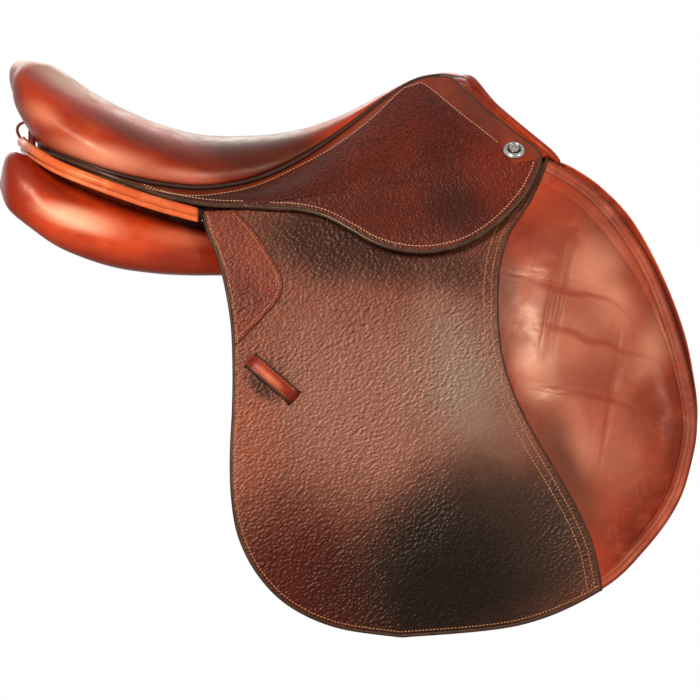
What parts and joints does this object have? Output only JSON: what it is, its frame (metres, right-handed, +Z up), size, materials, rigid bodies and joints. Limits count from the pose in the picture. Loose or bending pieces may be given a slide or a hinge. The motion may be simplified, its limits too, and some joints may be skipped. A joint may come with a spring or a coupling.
{
  "type": "jumping saddle",
  "caption": "Leather jumping saddle with a padded seat, lifting skirts and flaps, quilted knee pads, stuffed panels and girth straps.",
  "frame": {"origin": "on the centre plane, at the height where the panels bear on the horse's back, under the seat", "axes": "+X to the horse's head, +Y to the rider's left, +Z up"},
  "size_m": [0.6251, 0.3612, 0.5163],
  "materials": {
    "laminated_wood": "satin",
    "plate_steel": "brushed",
    "bar_steel": "polished",
    "nail_chrome": "polished",
    "padding": "matte",
    "webbing": "matte",
    "grained_leather": "pebble grain, satin",
    "strap_leather": "satin",
    "piping_leather": "satin",
    "trim_leather": "satin",
    "knee_pad_leather": "smooth, satin",
    "seat_leather": "smooth, polished",
    "panel_leather": "smooth, polished",
    "calf_leather": "smooth, satin"
  },
  "bodies": {
    "saddle": {"tree_head": "laminated_wood", "tree_rail_left": "laminated_wood", "tree_rail_right": "laminated_wood", "tree_cantle": "laminated_wood", "head_plate": "plate_steel", "gullet_plate": "plate_steel", "spring_steel_left": "plate_steel", "spring_steel_right": "plate_steel", "tree_rivets": "plate_steel", "seat_webs": "webbing", "seat_foam": "padding", "seat_cover": "seat_leather", "seat_welt_left": "piping_leather", "seat_welt_right": "piping_leather", "pommel_facing": "calf_leather", "pommel_front": "calf_leather", "skirt_left": "grained_leather", "skirt_right": "grained_leather", "nail_cups": "nail_chrome", "nail_screws": "nail_chrome", "sweat_flap_left": "calf_leather", "sweat_flap_right": "calf_leather", "panel_cover_left": "panel_leather", "panel_cover_right": "panel_leather", "panel_filling_left": "padding", "panel_filling_right": "padding", "facing_strip_left": "trim_leather", "facing_strip_right": "trim_leather", "cantle_loop": "trim_leather", "stirrup_bar_left": "bar_steel", "stirrup_bar_right": "bar_steel", "catch_pin_left": "bar_steel", "catch_pin_right": "bar_steel", "bar_rivets": "bar_steel", "girth_web_left": "webbing", "girth_web_right": "webbing"},
    "flap_left": {"flap_left": "grained_leather", "flap_lining_left": "calf_leather", "knee_pad_left": "knee_pad_leather", "flap_patch_left": "grained_leather", "keeper_left": "trim_leather"},
    "skirt_lobe_left": {"skirt_lobe_left": "grained_leather"},
    "bar_catch_left": {"bar_catch_left": "bar_steel"},
    "girth_strap_front_left": {"girth_strap_front_left": "strap_leather"},
    "girth_strap_rear_left": {"girth_strap_rear_left": "strap_leather"},
    "flap_right": {"flap_right": "grained_leather", "flap_lining_right": "calf_leather", "knee_pad_right": "knee_pad_leather", "flap_patch_right": "grained_leather", "keeper_right": "trim_leather"},
    "skirt_lobe_right": {"skirt_lobe_right": "grained_leather"},
    "bar_catch_right": {"bar_catch_right": "bar_steel"},
    "girth_strap_front_right": {"girth_strap_front_right": "strap_leather"},
    "girth_strap_rear_right": {"girth_strap_rear_right": "strap_leather"}
  },
  "joints": [
    {"name": "flap_lift_left", "type": "hinge", "parent": "saddle", "child": "flap_left", "pos_m": [0.08261, 0.11042, 0.07873], "axis": [0.9862, -0.056, 0.1558], "range_deg": [0, 58]},
    {"name": "skirt_lift_left", "type": "hinge", "parent": "flap_left", "child": "skirt_lobe_left", "pos_m": [0.08261, 0.11042, 0.07873], "axis": [0.9862, -0.056, 0.1558], "range_deg": [0, 35]},
    {"name": "catch_turn_left", "type": "hinge", "parent": "saddle", "child": "bar_catch_left", "pos_m": [0.084, 0.10023, 0.068], "axis": [0, 1, 0], "range_deg": [0, 60]},
    {"name": "strap_swing_front_left", "type": "hinge", "parent": "saddle", "child": "girth_strap_front_left", "pos_m": [0.076, 0.11458, 0.01969], "axis": [0, 0.9561, 0.293], "range_deg": [-10, 4]},
    {"name": "strap_swing_rear_left", "type": "hinge", "parent": "saddle", "child": "girth_strap_rear_left", "pos_m": [0.004, 0.11458, 0.01969], "axis": [0, 0.9561, 0.293], "range_deg": [-4, 10]},
    {"name": "flap_lift_right", "type": "hinge", "parent": "saddle", "child": "flap_right", "pos_m": [0.08261, -0.11042, 0.07873], "axis": [-0.9862, -0.056, -0.1558], "range_deg": [0, 58]},
    {"name": "skirt_lift_right", "type": "hinge", "parent": "flap_right", "child": "skirt_lobe_right", "pos_m": [0.08261, -0.11042, 0.07873], "axis": [-0.9862, -0.056, -0.1558], "range_deg": [0, 35]},
    {"name": "catch_turn_right", "type": "hinge", "parent": "saddle", "child": "bar_catch_right", "pos_m": [0.084, -0.10023, 0.068], "axis": [0, 1, 0], "range_deg": [0, 60]},
    {"name": "strap_swing_front_right", "type": "hinge", "parent": "saddle", "child": "girth_strap_front_right", "pos_m": [0.076, -0.11458, 0.01969], "axis": [0, -0.9561, 0.293], "range_deg": [-4, 10]},
    {"name": "strap_swing_rear_right", "type": "hinge", "parent": "saddle", "child": "girth_strap_rear_right", "pos_m": [0.004, -0.11458, 0.01969], "axis": [0, -0.9561, 0.293], "range_deg": [-10, 4]}
  ]
}
